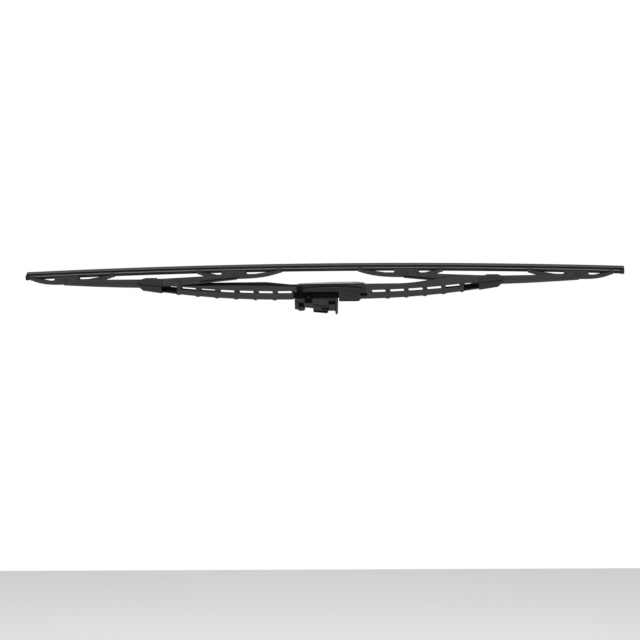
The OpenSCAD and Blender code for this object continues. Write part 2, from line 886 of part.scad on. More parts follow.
module cover_outline() {
    x0 = bridge_reach - cover_inner;
    x1 = bridge_reach + cover_outer;
    low = skin_gap + cover_wall;
    polygon([
        [x0, -cover_top - 1.5],
        [x0 + 5.5, -cover_top - 1.5],
        [x0 + 8, -cover_top],
        [x1 - 5, -cover_top],
        [x1, -cover_top - 1.8],
        [x1, -bridge_bottom(x1) + 3.2],
        [x1 - 1.8, -bridge_bottom(x1) + 0.6],
        [x1 - 4.5, -bridge_bottom(x1 - 4.5) - low],
        [x0, -bridge_bottom(x0) - low]
    ]);
}

// The space that the bridge takes inside a cover, open towards the strip
module cover_hollow() {
    polygon([
        for (i = [0 : 8])
            let (x = mix(cover_start - 1, bridge_reach + cover_outer + 1, i / 8))
                [x, -bridge_bottom(x) - skin_gap],
        [bridge_reach + cover_outer + 1, 1],
        [cover_start - 1, 1]
    ]);
    box_xz(web_end + 0.5, bridge_reach + far, 0, far);
}

module cover_line() {
    x0 = cover_start - 1;
    x1 = bridge_reach + cover_outer + 1;
    polygon([
        [x0, -main_pivot_depth - 2.9],
        [x1, -main_pivot_depth + 0.3],
        [x1, -main_pivot_depth + 1],
        [x0, -main_pivot_depth - 2.2]
    ]);
}

module joint_cover(side) {
    color(plastic)
        blade()
            on_side(side)
                difference() {
                    plate(-cover_face, cover_face)
                        cover_outline();
                    plate(-cover_side, cover_side)
                        cover_hollow();
                    both_sides(cover_face - 0.4, far)
                        cover_line();
                }
}

// Centre housing
housing_top = wall_top - 0.2 - housing_roof;
housing_low = crown_depth + skin_gap + housing_floor;
roof_end = housing_right - 13.3;
skirt_left = window_right + 0.8;
skirt_right = housing_right - 7.3;
// The floor behind the window stops here, clear of the clip's swing
clip_room = window_right + 2.2;

// The roof slopes up from each end to its crown
function roof_line(drop) = [
    [housing_left + 2, -housing_top - drop],
    [housing_left + roof_slope_left, roof_crown - housing_top - drop],
    [housing_right - roof_slope_right, roof_crown - housing_top - drop],
    [housing_right - 2.5, -housing_top - drop]
];

// The brow's arch over the window, as a ring around a far centre: its bulge is low and wide
brow_left = housing_left + 3.5;
brow_right = housing_right - 2.5;
brow_middle = (brow_left + brow_right) / 2;
brow_half = (brow_right - brow_left) / 2;
brow_top = housing_top + 4.5;
brow_ring = (brow_half * brow_half + brow_rise * brow_rise) / (2 * brow_rise);

module housing_side_outline() {
    polygon([
        [housing_left, -housing_top - 0.9],
        for (p = roof_line(0)) p,
        [housing_right, -housing_top - 1.7],
        [housing_right, -crown_depth + 0.6],
        [skirt_right + 2, -crown_depth],
        [skirt_right, -housing_low],
        [skirt_left, -housing_low],
        [window_right, -housing_low + 0.8],
        [window_right, -window_top],
        [housing_left, -window_top]
    ]);
}

// The housing's cross-section, with its long upper edges rounded
module housing_section() {
    r = housing_round;
    top = roof_crown - housing_top;
    for (s = [-1, 1])
        translate([s * (housing_outer - r), top - r])
            circle(r = r);
    translate([r - housing_outer, -far])
        square([2 * (housing_outer - r), far + top]);
    translate([-housing_outer, -far])
        square([2 * housing_outer, far + top - r]);
}

module housing_plan() {
    narrow = housing_wall * 0.6;
    polygon([
        [housing_left, housing_outer - narrow],
        [housing_left + 5, housing_outer],
        [housing_right - 7, housing_outer],
        [housing_right, housing_outer - narrow],
        [housing_right, narrow - housing_outer],
        [housing_right - 7, -housing_outer],
        [housing_left + 5, -housing_outer],
        [housing_left, narrow - housing_outer]
    ]);
}

module housing_hollow() {
    low = -crown_depth - skin_gap;
    under_roof = -housing_top - housing_roof;
    plate(-housing_inner, housing_inner) {
        polygon([
            [housing_left - 1, low],
            [housing_left - 1, under_roof],
            for (p = roof_line(housing_roof)) p,
            [housing_right + 1, under_roof],
            [housing_right + 1, low]
        ]);
        box_xz(roof_end, housing_right + 1, 0, crown_depth);
        box_xz(housing_left - 1, clip_room, crown_depth, far);
    }
}

// The part of the sides between the brow's arch and the roof's edge
module above_brow() {
    difference() {
        box_xz(housing_left + 3, housing_right - 2, housing_top + 1, brow_top + brow_rise);
        translate([brow_middle, -brow_top - brow_ring])
            circle(r = brow_ring, $fn = 180);
    }
}

module brow() {
    spread = asin(brow_half / brow_ring);
    side = housing_outer - brow_bead + brow_proud;
    for (s = [-1, 1])
        translate([brow_middle, s * side, -brow_top - brow_ring])
            rotate([90, 0, 0])
                rotate([0, 0, 90 - spread])
                    rotate_extrude(angle = 2 * spread, $fn = 180)
                        translate([brow_ring, 0])
                            circle(r = brow_bead, $fn = 24);
}

module housing_shell() {
    intersection() {
        plate(-housing_outer, housing_outer)
            housing_side_outline();
        translate([-far * 2, 0, 0])
            rotate([90, 0, 90])
                linear_extrude(far * 4)
                    housing_section();
        translate([0, 0, -far])
            linear_extrude(far)
                housing_plan();
    }
}

module centre_housing() {
    color(plastic)
        blade()
            difference() {
                union() {
                    difference() {
                        housing_shell();
                        both_sides(housing_outer - brow_recess, far)
                            above_brow();
                    }
                    brow();
                }
                housing_hollow();
                both_sides(housing_inner, far)
                    snap_pocket();
            }
}

module arm_pin() {
    color(bright_steel)
        bar(0, 0, arm_pin_r, -bridge_outer, bridge_outer);
}

// Arm clip, drawn around the arm pin, with its underside sloping down to the right
clip_half = clip_width / 2;
panel_face = clip_half + panel_proud;
hook_half = hook_width / 2;
// The outlines below are drawn for a clip of this length, and follow the real one
clip_unit = clip_length / 46.4;

module clip_outline() {
    top = cheek_rise / clip_unit;
    polygon(clip_unit * [
        [-15.2, -1], [-15.1, -12.6], [-12.5, -12.9], [-9.8, -14.5], [-8.2, -14.6],
        [-5.2, -14.2], [-4.8, -10.8], [4.8, -11.8], [5, -16],
        [18.2, -17.3], [20, -17.3], [20.3, -14.7], [28.4, -14.9],
        [28.9, -18.4], [30.5, -18.5], [30.7, -12], [31, -5.3], [31, -1],
        [34, -1], [34, top], [-18, top], [-18, -1]
    ]);
}

// The spine that the arm's hook wraps: a round nose on the pin and a straight back
module clip_spine() {
    tip = 29.8 * clip_unit;
    circle(r = nose_radius);
    polygon([[0, nose_radius], [0.74 * tip, 0.6 * nose_radius], [tip, -0.3 * nose_radius],
        [tip, -1.5 * nose_radius], [0, -nose_radius]]);
}

module clip_panels() {
    polygon(clip_unit * [[-15.2, -1.6], [-4.4, -1.6], [-4.4, -5], [-15.2, -4.8]]);
    polygon(clip_unit * [[-15.2, -5.9], [-11, -5.9], [-11, -10.5], [-5, -10.7], [-5.3, -14.1],
        [-8.2, -14.5], [-9.8, -14.4], [-12.5, -12.8], [-15, -12.5]]);
    polygon(clip_unit * [[-4.9, -6.2], [4.8, -6.2], [4.8, -11.7], [-4.8, -10.7]]);
    polygon(clip_unit * [[4.8, -2.4], [20.3, -2.4], [20.3, -14.4], [4.8, -14.2]]);
    polygon(clip_unit * [[21.4, -7.9], [29, -7.9], [28.5, -14.8], [21.4, -14.6]]);
    polygon(clip_unit * [[29.6, -1.9], [31, -1.9], [31, -5.3], [30.7, -12], [30.5, -18.5],
        [29, -18.4]]);
    polygon(clip_unit * [[21.6, -2.9], [29.6, -2.9], [29.6, -3.8], [21.6, -3.8]]);
}

module clip_recesses() {
    polygon(clip_unit * [[-10.8, -5.8], [-5, -6], [-5, -10.5], [-10.8, -10.3]]);
    polygon(clip_unit * [[5, -7.6], [11.2, -8], [11.2, -8.9], [5, -8.5]]);
    polygon(clip_unit * [[12, -9], [19, -9.5], [19, -10.4], [12, -9.9]]);
    polygon(clip_unit * [[13.6, -11.3], [22.6, -11.7], [22.6, -13.5], [13.6, -13.1]]);
}

module arm_clip() {
    color(plastic) {
        difference() {
            union() {
                plate(-clip_half, clip_half)
                    clip_outline();
                both_sides(clip_half, panel_face)
                    clip_panels();
            }
            plate(-hook_half, hook_half)
                difference() {
                    translate([-far, -far])
                        square(2 * far);
                    clip_spine();
                }
            both_sides(clip_half - recess_depth, far)
                clip_recesses();
            through_bore(0, 0, arm_pin_r + fit);
        }
        // Round button that locks in the hole of the arm's hook
        translate([button_x, 0, -nose_radius * 1.25 - button_height])
            cylinder(r = button_radius, h = button_height + 1);
    }
}

primary_bridge();
centre_housing();
arm_pin();
arm_clip();
joint_cover(LEFT);  // joint_cover_left
joint_cover(RIGHT);  // joint_cover_right
main_rivet(LEFT);  // main_rivet_left
main_rivet(RIGHT);  // main_rivet_right
main_bushes(LEFT);  // main_bushes_left
main_bushes(RIGHT);  // main_bushes_right
lever(LEFT);  // lever_left
lever(RIGHT);  // lever_right
yoke(LEFT, OUTER);  // yoke_left_outer
yoke(LEFT, INNER);  // yoke_left_inner
yoke(RIGHT, INNER);  // yoke_right_inner
yoke(RIGHT, OUTER);  // yoke_right_outer
yoke_rivet(LEFT, OUTER);  // yoke_rivet_left_outer
yoke_rivet(LEFT, INNER);  // yoke_rivet_left_inner
yoke_rivet(RIGHT, INNER);  // yoke_rivet_right_inner
yoke_rivet(RIGHT, OUTER);  // yoke_rivet_right_outer
yoke_liners(LEFT, OUTER);  // yoke_liners_left_outer
yoke_liners(LEFT, INNER);  // yoke_liners_left_inner
yoke_liners(RIGHT, INNER);  // yoke_liners_right_inner
yoke_liners(RIGHT, OUTER);  // yoke_liners_right_outer
rubber_strip();
spring_rail_front();
spring_rail_rear();
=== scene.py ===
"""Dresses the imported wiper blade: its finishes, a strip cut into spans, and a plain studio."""
import json
import logging
import math
from dataclasses import dataclass
from enum import Enum
from typing import Any, Mapping, Optional, Sequence, Union

import bmesh
import bpy
import numpy as np
from mathutils import Matrix, Vector


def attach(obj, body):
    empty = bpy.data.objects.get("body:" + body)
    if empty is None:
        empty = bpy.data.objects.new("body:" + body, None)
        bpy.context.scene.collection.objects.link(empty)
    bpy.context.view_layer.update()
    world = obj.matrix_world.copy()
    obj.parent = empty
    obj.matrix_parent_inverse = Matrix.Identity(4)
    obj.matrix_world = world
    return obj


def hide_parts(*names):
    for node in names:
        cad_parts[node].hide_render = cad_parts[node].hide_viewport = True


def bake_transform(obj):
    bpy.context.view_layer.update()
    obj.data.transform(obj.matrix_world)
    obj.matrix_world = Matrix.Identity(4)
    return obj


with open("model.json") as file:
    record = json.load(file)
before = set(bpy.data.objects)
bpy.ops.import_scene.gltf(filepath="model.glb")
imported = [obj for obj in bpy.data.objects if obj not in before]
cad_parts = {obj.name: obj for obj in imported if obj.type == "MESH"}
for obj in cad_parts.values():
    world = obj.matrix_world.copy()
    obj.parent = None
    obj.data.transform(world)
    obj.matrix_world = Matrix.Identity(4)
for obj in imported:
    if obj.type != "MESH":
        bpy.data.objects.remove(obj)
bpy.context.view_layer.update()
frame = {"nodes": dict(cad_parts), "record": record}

MM = 0.001
LOG = logging.getLogger("wiper_blade")
Material = bpy.types.Material
Pair = tuple[float, float]


class Reach(Enum):
    """The two yokes of a lever, as the sign of their distance from the lever's pivot."""

    INNER = -1
    OUTER = 1


class Half(Enum):
    """The blade's halves, by their word in names."""

    LEFT = "left"
    RIGHT = "right"


class Face(Enum):
    """The strip's long faces, by their word in names."""

    FRONT = "front"
    REAR = "rear"


# Shader maths

Operand = Union["Value", float]


class Value:
    """An output socket that takes part in arithmetic."""

    def __init__(self, graph: "Graph", socket: bpy.types.NodeSocket) -> None:
        """Holds the socket and the graph that new nodes go into."""
        self.graph = graph
        self.socket = socket

    def __add__(self, other: Operand) -> "Value":
        """self + other."""
        return self.graph.maths("ADD", self, other)

    __radd__ = __add__

    def __sub__(self, other: Operand) -> "Value":
        """self - other."""
        return self.graph.maths("SUBTRACT", self, other)

    def __rsub__(self, other: Operand) -> "Value":
        """other - self."""
        return self.graph.maths("SUBTRACT", other, self)

    def __mul__(self, other: Operand) -> "Value":
        """self * other."""
        return self.graph.maths("MULTIPLY", self, other)

    __rmul__ = __mul__

    def __truediv__(self, other: Operand) -> "Value":
        """self / other."""
        return self.graph.maths("DIVIDE", self, other)

    def absolute(self) -> "Value":
        """The distance from 0."""
        return self.graph.maths("ABSOLUTE", self)

    def floor(self) -> "Value":
        """The whole number below."""
        return self.graph.maths("FLOOR", self)

    def positive(self) -> "Value":
        """1 above 0, and 0 elsewhere."""
        return self.graph.maths("GREATER_THAN", self, 0.0)

    def at_least(self, other: Operand) -> "Value":
        """The greater of self and other."""
        return self.graph.maths("MAXIMUM", self, other)

    def ramp(self, low: float, high: float) -> "Value":
        """0 below low and 1 above high, with a smooth step between them."""
        return self.graph.node("ShaderNodeMapRange", {"interpolation_type": "SMOOTHSTEP"},
                               {0: self, 1: low, 2: high, 3: 0.0, 4: 1.0})

    def between(self, low: float, high: float, soft: float) -> "Value":
        """1 from low to high and 0 outside, with a step of soft either way at both."""
        return self.ramp(low - soft, low + soft) * (1.0 - self.ramp(high - soft, high + soft))

    def near_zero(self, half_width: float, soft: float) -> "Value":
        """1 up to half_width from 0 and 0 beyond, with a step of soft either way."""
        return 1.0 - self.absolute().ramp(half_width - soft, half_width + soft)


class Graph:
    """The nodes of a material or of the world."""

    MIX_FACTOR, MIX_A, MIX_B, MIX_RESULT = 0, 6, 7, 2

    # Where a face begins to count as an inner, upper or level one or an edge, and fully does:
    # -Y in millimetres times the normal's Y, the normal's Z, and 1 - cosine of its rounding
    INNER = (1.0, 3.0)
    UPPER = (0.15, 0.5)
    LEVEL = (0.93, 0.995)
    EDGE = (0.01, 0.22)
    EDGE_SAMPLES = 6

    def __init__(self, owner: Union[Material, bpy.types.World]) -> None:
        """Empties the owner's nodes."""
        owner.use_nodes = True
        self.owner = owner
        self.tree = owner.node_tree
        self.tree.nodes.clear()

    @classmethod
    def of_material(cls, name: str) -> "Graph":
        """Makes a new material."""
        return cls(bpy.data.materials.new(name))

    def node(self, kind: str, settings: Optional[Mapping[str, Any]] = None,
             inputs: Optional[Mapping[Union[str, int], Any]] = None,
             output: Union[str, int, None] = 0) -> Optional[Value]:
        """Adds a node.

        Args:
            kind: Blender's type of the node.
            settings: Its properties, which are set first.
            inputs: Values or links of its sockets, by name or number.
            output: The socket that is returned, or None on a node that has none.

        Returns:
            The chosen output.
        """
        made = self.tree.nodes.new(kind)
        for key, value in (settings or {}).items():
            setattr(made, key, value)
        for key, value in (inputs or {}).items():
            if isinstance(value, Value):
                self.tree.links.new(value.socket, made.inputs[key])
            else:
                made.inputs[key].default_value = value
        return None if output is None else Value(self, made.outputs[output])

    def maths(self, operation: str, *operands: Operand) -> Value:
        """Adds one Math node.

        Args:
            operation: Blender's name of the operation.
            operands: The values of its sockets, in order.

        Returns:
            The result.
        """
        return self.node("ShaderNodeMath", {"operation": operation}, dict(enumerate(operands)))

    def place(self) -> Value:
        """The point's place on the part, in metres."""
        return self.node("ShaderNodeTexCoord", output="Object")

    def part_of(self, vector: Value, axis: str) -> Value:
        """The X, Y or Z of a vector."""
        return self.node("ShaderNodeSeparateXYZ", None, {"Vector": vector}, axis)

    def coordinate(self, axis: str) -> Value:
        """The point's X, Y or Z on the part, in millimetres."""
        return self.part_of(self.place(), axis) / MM

    def normal(self) -> Value:
        """The surface's own normal."""
        return self.node("ShaderNodeNewGeometry", output="Normal")

    def inner_faces(self) -> Value:
        """1 on faces that look at the middle plane, where Y times the normal's Y is negative."""
        facing = self.part_of(self.normal(), "Y")
        return (self.coordinate("Y") * facing * -1.0).ramp(*self.INNER)

    def upper_faces(self) -> tuple[Value, Value]:
        """Finds the faces that look to the wiping edge, +Z.

        Returns:
            A mask of all of them, and one of those that slant.
        """
        up = self.part_of(self.normal(), "Z")
        upper = up.ramp(*self.UPPER)
        return upper, upper * (1.0 - up.ramp(*self.LEVEL))

    def noise(self, scale: float, detail: float = 3.0, at: Optional[Value] = None) -> Value:
        """Noise of about 0 to 1.

        Args:
            scale: Lumps per metre.
            detail: Octaves.
            at: The point, or the place on the part.

        Returns:
            The noise.
        """
        return self.node("ShaderNodeTexNoise", None,
                         {"Vector": at or self.place(), "Scale": scale, "Detail": detail})

    def stretched(self, factors: Sequence[float]) -> Value:
        """The place on the part with each axis multiplied by a factor."""
        return self.node("ShaderNodeVectorMath", {"operation": "MULTIPLY"},
                         {0: self.place(), 1: tuple(factors)})

    def blend(self, factor: Operand, first: Any, second: Any) -> Value:
        """A colour between first, at factor 0, and second, at 1."""
        return self.node("ShaderNodeMix", {"data_type": "RGBA"},
                         {self.MIX_FACTOR: factor, self.MIX_A: first, self.MIX_B: second},
                         self.MIX_RESULT)

    def spread(self, middle: float, *parts: tuple[Value, float]) -> Value:
        """A number that noises vary about a middle.

        It is the sum of each noise times its width, moved so that its mean is the middle.

        Args:
            middle: The mean.
            parts: Each noise of 0 to 1 with the width that it varies the number by.

        Returns:
            The number.
        """
        noise, width = parts[0]
        total, widths = noise * width, width
        for noise, width in parts[1:]:
            total, widths = total + noise * width, widths + width
        return total + (middle - widths / 2)

    def attribute(self, name: str) -> Value:
        """A number that the mesh carries at each point."""
        return self.node("ShaderNodeAttribute", {"attribute_name": name}, None, "Fac")

    def soft_edges(self, radius: float) -> tuple[Value, Value]:
        """Rounded normals at edges, and how much they turn.

        Args:
            radius: Radius of the rounding in metres.

        Returns:
            The rounded normal, and a mask that is 0 on flats and near 1 on edges.
        """
        rounded = self.node("ShaderNodeBevel", {"samples": self.EDGE_SAMPLES},
                            {"Radius": radius})
        same = self.node("ShaderNodeVectorMath", {"operation": "DOT_PRODUCT"},
                         {0: rounded, 1: self.normal()}, "Value")
        return rounded, (1.0 - same).ramp(*self.EDGE)

    def bump(self, height: Value, distance: float, normal: Optional[Value] = None) -> Value:
        """A normal for a height field of the given distance in metres."""
        base = {} if normal is None else {"Normal": normal}
        return self.node("ShaderNodeBump", None,
                         {"Height": height, "Distance": distance, "Strength": 1.0, **base})

    def surface(self, inputs: Mapping[str, Any]) -> Value:
        """Adds a Principled shader."""
        return self.node("ShaderNodeBsdfPrincipled", None, inputs)

    def layered(self, factor: Value, first: Value, second: Value) -> Value:
        """A shader between first, at factor 0, and second, at 1."""
        return self.node("ShaderNodeMixShader", None, {0: factor, 1: first, 2: second})

    def finish(self, shader: Value, kind: str = "ShaderNodeOutputMaterial") -> Any:
        """Links a shader to the output and returns the material or world."""
        self.node(kind, None, {"Surface": shader}, None)
        return self.owner


def grey(level: float, warmth: float = 0.0) -> tuple[float, float, float, float]:
    """A grey of a linear level, made warmer or, below zero, cooler."""
    return (level * (1.0 + warmth), level, level * (1.0 - warmth), 1.0)


@dataclass(frozen=True)
class Shades:
    """The two greys that a noise runs between, as shares of a finish's level."""

    low: float
    high: float
    low_warmth: float = 0.0
    high_warmth: float = 0.0

    def mottle(self, g: Graph, noise: Value, level: float) -> Value:
        """The grey that the noise gives at each point."""
        return g.blend(noise, grey(level * self.low, self.low_warmth),
                       grey(level * self.high, self.high_warmth))


# Marks: places on a part where shade or shadow is painted, in millimetres

class Mark:
    """A place on a part."""

    def mask(self, g: Graph) -> Value:
        """1 on the mark and 0 elsewhere."""
        raise NotImplementedError

    @staticmethod
    def union(g: Graph, marks: Sequence["Mark"]) -> Value:
        """1 on any of the marks, as the greatest of their masks.

        Args:
            g: The material's nodes.
            marks: One mark or more.

        Returns:
            The mask.
        """
        total = marks[0].mask(g)
        for mark in marks[1:]:
            total = total.at_least(mark.mask(g))
        return total


@dataclass(frozen=True)
class SlotRow(Mark):
    """The posts between the slots of the bridge's arms, where shade is painted."""

    first_post: float = 153.0
    pitch_left: float = 20.8
    pitch_right: float = 20.0
    post_half_width: float = 2.2
    half_height: float = 1.8
    soft: float = 0.6
    middle_z: float = 5.7
    end_z: float = 15.15
    straight: float = 38.0
    climb_length: float = 146.5
    row: Pair = (61.5, 156.5)
    row_soft: float = 0.5

    def mask(self, g: Graph) -> Value:
        """A mask of the posts at the height of the slots.

        Across, it is 1 where the distance from the first post is near a whole number of
        pitches. Upwards, it is 1 near the row's line, a parabola beyond the straight middle.

        Args:
            g: The material's nodes.

        Returns:
            The mask.
        """
        x = g.coordinate("X") + Bow.arm_pin_x
        away = x.absolute()
        pitch = x.positive() * (self.pitch_right - self.pitch_left) + self.pitch_left
        turns = (self.first_post - away) / pitch + 0.5
        off_post = (turns - turns.floor() - 0.5) * pitch
        along = (away - self.straight).at_least(0.0) / self.climb_length
        line = along * along * (self.end_z - self.middle_z) + self.middle_z
        off_line = g.coordinate("Z") - line
        return off_post.near_zero(self.post_half_width, self.soft) \
            * off_line.near_zero(self.half_height, self.soft) \
            * away.between(*self.row, self.row_soft)


@dataclass(frozen=True)
class Patch(Mark):
    """A range of X and of Z."""

    x: Pair
    z: Pair
    soft: float = 0.3

    def mask(self, g: Graph) -> Value:
        """1 inside the patch."""
        return g.coordinate("X").between(*self.x, self.soft) \
            * g.coordinate("Z").between(*self.z, self.soft)


@dataclass(frozen=True)
class Core(Mark):
    """All that lies nearer the middle plane than a distance."""

    half_width: float
    soft: float = 0.15

    def mask(self, g: Graph) -> Value:
        """1 near the middle plane."""
        return g.coordinate("Y").near_zero(self.half_width, self.soft)


@dataclass(frozen=True)
class ShadowLine(Mark):
    """A painted shadow along a straight line between two places, left and right, given as X and
    Z.
    """

    left: Pair
    right: Pair
    half_width: float = 0.7
    soft: float = 0.28
    end_soft: float = 3.0

    def mask(self, g: Graph) -> Value:
        """1 near the line through both places, as far as it lies between them.

        Args:
            g: The material's nodes.

        Returns:
            The mask.
        """
        slope = (self.right[1] - self.left[1]) / (self.right[0] - self.left[0])
        x = g.coordinate("X")
        off = g.coordinate("Z") - (x - self.left[0]) * slope - self.left[1]
        return off.near_zero(self.half_width, self.soft) \
            * x.between(self.left[0], self.right[0], self.end_soft)


@dataclass(frozen=True)
class Arch(Mark):
    """A painted shadow line that arches along the part, as the foot of a slope does."""

    middle: float
    top: float
    half_span: float
    drop: float
    half_width: float
    soft: float
    reach: float = 0.975
    end_soft: float = 0.075

    def mask(self, g: Graph) -> Value:
        """1 near the parabola z = top - drop * ((x - middle) / half_span) ** 2.

        Args:
            g: The material's nodes.

        Returns:
            The mask.
        """
        along = (g.coordinate("X") - self.middle) / self.half_span
        off = g.coordinate("Z") + along * along * self.drop - self.top
        return off.near_zero(self.half_width, self.soft) \
            * along.near_zero(self.reach, self.end_soft)


# Finishes

# The little gloss of the painted shade
PAINTED_SHADE_SPECULAR = 0.03


@dataclass(frozen=True)
class PowderCoat:
    """Satin black powder coat on pressed steel, rubbed a little brighter along its edges.

    Shade is painted: the inner faces and the posts between the slots are drawn dull, and the
    black shade marks blacker.
    """

    name: str
    level: float = 0.028
    shades: Shades = Shades(0.85, 1.18)
    inner_shade_level: float = 0.034
    black_shade_level: float = 0.002
    edge_level: float = 0.06
    roughness: float = 0.5
    cloud_width: float = 0.10
    peel_width: float = 0.08
    specular: float = 0.25
    edge_radius: float = 0.3 * MM
    peel_per_metre: float = 1500.0
    peel_height: float = 0.015 * MM
    cloud_per_metre: float = 45.0
    wear_per_metre: float = 420.0
    wear_from: Pair = (0.4, 0.7)
    wear: float = 0.5
    post_shade: Optional[Mark] = None
    post_shade_cover: float = 0.9
    black_shade_marks: tuple[Mark, ...] = ()

    def build(self) -> Material:
        """Makes the material.

        Returns:
            The material.
        """
        g = Graph.of_material(self.name)
        rounded, edge = g.soft_edges(self.edge_radius)
        cloud = g.noise(self.cloud_per_metre, 2.0)
        peel = g.noise(self.peel_per_metre, 2.0)
        worn = edge * g.noise(self.wear_per_metre, 3.0).ramp(*self.wear_from) * self.wear
        base = g.blend(worn, self.shades.mottle(g, cloud, self.level), grey(self.edge_level))
        # Painted shade: the inner faces of the channels are drawn dull, with little gloss
        painted_shade_mask = g.inner_faces()
        # Painted shade on the posts between the slots
        if self.post_shade:
            painted_shade_mask = painted_shade_mask.at_least(self.post_shade.mask(g) * self.post_shade_cover)
        painted_shade_colour: Any = grey(self.inner_shade_level)
        # Painted shade: the black marks are drawn near black, without gloss
        if self.black_shade_marks:
            black = Mark.union(g, self.black_shade_marks)
            painted_shade_mask = painted_shade_mask.at_least(black)
            painted_shade_colour = g.blend(black, painted_shade_colour, grey(self.black_shade_level))
        shared = {"Roughness": g.spread(self.roughness, (cloud, self.cloud_width),
                                        (peel, self.peel_width)),
                  "Normal": g.bump(peel, self.peel_height, rounded)}
        clean = g.surface({**shared, "Base Color": base, "Specular IOR Level": self.specular})
        painted_shade_surface = g.surface({**shared, "Base Color": painted_shade_colour,
                          "Specular IOR Level": PAINTED_SHADE_SPECULAR})
        return g.finish(g.layered(painted_shade_mask, clean, painted_shade_surface))


@dataclass(frozen=True)
class MouldedPlastic:
    """Black moulded plastic with a fine spark-eroded grain.

    The edges are drawn paler, a painted highlight, and the painted shade marks have no gloss.
    Where a sheen is given, the upper faces above a height have it, and those that slant are
    painted paler, as a highlight.
    """

    name: str
    level: float = 0.016
    shades: Shades = Shades(0.8, 1.25)
    edge_highlight_gain: float = 2.2
    edge_highlight_cover: float = 0.5
    roughness: float = 0.5
    flow_width: float = 0.12
    grain_width: float = 0.10
    specular: float = 0.2
    edge_radius: float = 0.25 * MM
    grain_per_metre: float = 2600.0
    grain_height: float = 0.02 * MM
    flow_per_metre: float = 60.0
    flow_stretch: tuple[float, float, float] = (0.35, 1.0, 1.0)
    painted_shade_level: float = 0.0035
    painted_shade_greys: Shades = Shades(0.7, 1.4)
    painted_shade_marks: tuple[Mark, ...] = ()
    upper_sheen: float = 0.0
    upper_from: float = 0.0
    upper_soft: float = 0.4
    sheen_roughness: float = 0.3
    slant_highlight_level: float = 0.22

    def build(self) -> Material:
        """Makes the material.

        Returns:
            The material.
        """
        g = Graph.of_material(self.name)
        rounded, edge = g.soft_edges(self.edge_radius)
        flow = g.noise(self.flow_per_metre, 2.0, g.stretched(self.flow_stretch))
        grain = g.noise(self.grain_per_metre, 2.0)
        # Painted highlight: the edges are drawn paler
        base = g.blend(edge * self.edge_highlight_cover, self.shades.mottle(g, flow, self.level),
                       grey(self.level * self.edge_highlight_gain))
        shared = {"Roughness": g.spread(self.roughness, (flow, self.flow_width),
                                        (grain, self.grain_width)),
                  "Normal": g.bump(grain, self.grain_height, rounded)}
        sheen: dict[str, Any] = {}
        if self.upper_sheen:
            high = g.coordinate("Z").ramp(self.upper_from - self.upper_soft,
                                          self.upper_from + self.upper_soft)
            upper, slanted = g.upper_faces()
            # Painted highlight: the slanting upper faces are drawn paler
            base = g.blend(slanted * high, base, grey(self.slant_highlight_level))
            sheen = {"Coat Weight": upper * high * self.upper_sheen,
                     "Coat Roughness": self.sheen_roughness}
        clean = g.surface({**shared, **sheen, "Base Color": base,
                           "Specular IOR Level": self.specular})
        if not self.painted_shade_marks:
            return g.finish(clean)
        # Painted shade: the marks take a near black without gloss
        painted_shade_surface = g.surface({**shared,
                          "Base Color": self.painted_shade_greys.mottle(g, flow, self.painted_shade_level),
                          "Specular IOR Level": PAINTED_SHADE_SPECULAR})
        return g.finish(g.layered(Mark.union(g, self.painted_shade_marks), clean, painted_shade_surface))


@dataclass(frozen=True)
class WiperRubber:
    """Matt rubber whose lip is drawn paler, a painted highlight, with fine drawing lines along
    it.

    The lip's painted highlight ends, and the painted shade of the neck starts and ends, between
    two depths in millimetres.
    """

    name: str = "wiper_rubber"
    body_level: float = 0.014
    body_shades: Shades = Shades(0.8, 1.3, 0.05, 0.08)
    neck_shade_level: float = 0.004
    lip_highlight_level: float = 0.060
    lip_highlight_greys: Shades = Shades(0.75, 1.2, 0.03, 0.04)
    lip_highlight_end: Pair = (2.295, 2.835)
    neck_shade_start: Pair = (2.43, 2.7)
    neck_shade_end: Pair = (3.7, 4.0)
    dust_per_metre: float = 900.0
    dust_height: float = 0.01 * MM
    patches_per_metre: float = 14.0
    patch_stretch: tuple[float, float, float] = (1.0, 6.0, 6.0)
    lines_per_millimetre: float = 2.2
    roughness: float = 0.69
    dust_width: float = 0.14
    specular: float = 0.2

    def build(self) -> Material:
        """Makes the material.

        Returns:
            The material.
        """
        g = Graph.of_material(self.name)
        depth = g.attribute("depth_mm")
        dust = g.noise(self.dust_per_metre, 4.0)
        patches = g.noise(self.patches_per_metre, 2.0, g.stretched(self.patch_stretch))
        lines = g.noise(self.lines_per_millimetre, 2.0,
                        g.node("ShaderNodeCombineXYZ", None, {0: depth}))
        # Painted highlight: the lip is drawn paler than the body
        coat = 1.0 - depth.ramp(*self.lip_highlight_end)
        # Painted shade: the neck under the lip is drawn darker
        neck = depth.ramp(*self.neck_shade_start) * (1.0 - depth.ramp(*self.neck_shade_end))
        body = self.body_shades.mottle(g, patches, self.body_level)
        lip = self.lip_highlight_greys.mottle(g, dust * 0.5 + lines * 0.5, self.lip_highlight_level)
        return g.finish(g.surface({
            "Base Color": g.blend(neck, g.blend(coat, body, lip), grey(self.neck_shade_level)),
            "Roughness": g.spread(self.roughness, (dust, self.dust_width)),
            "Normal": g.bump(dust, self.dust_height),
            "Specular IOR Level": self.specular,
        }))


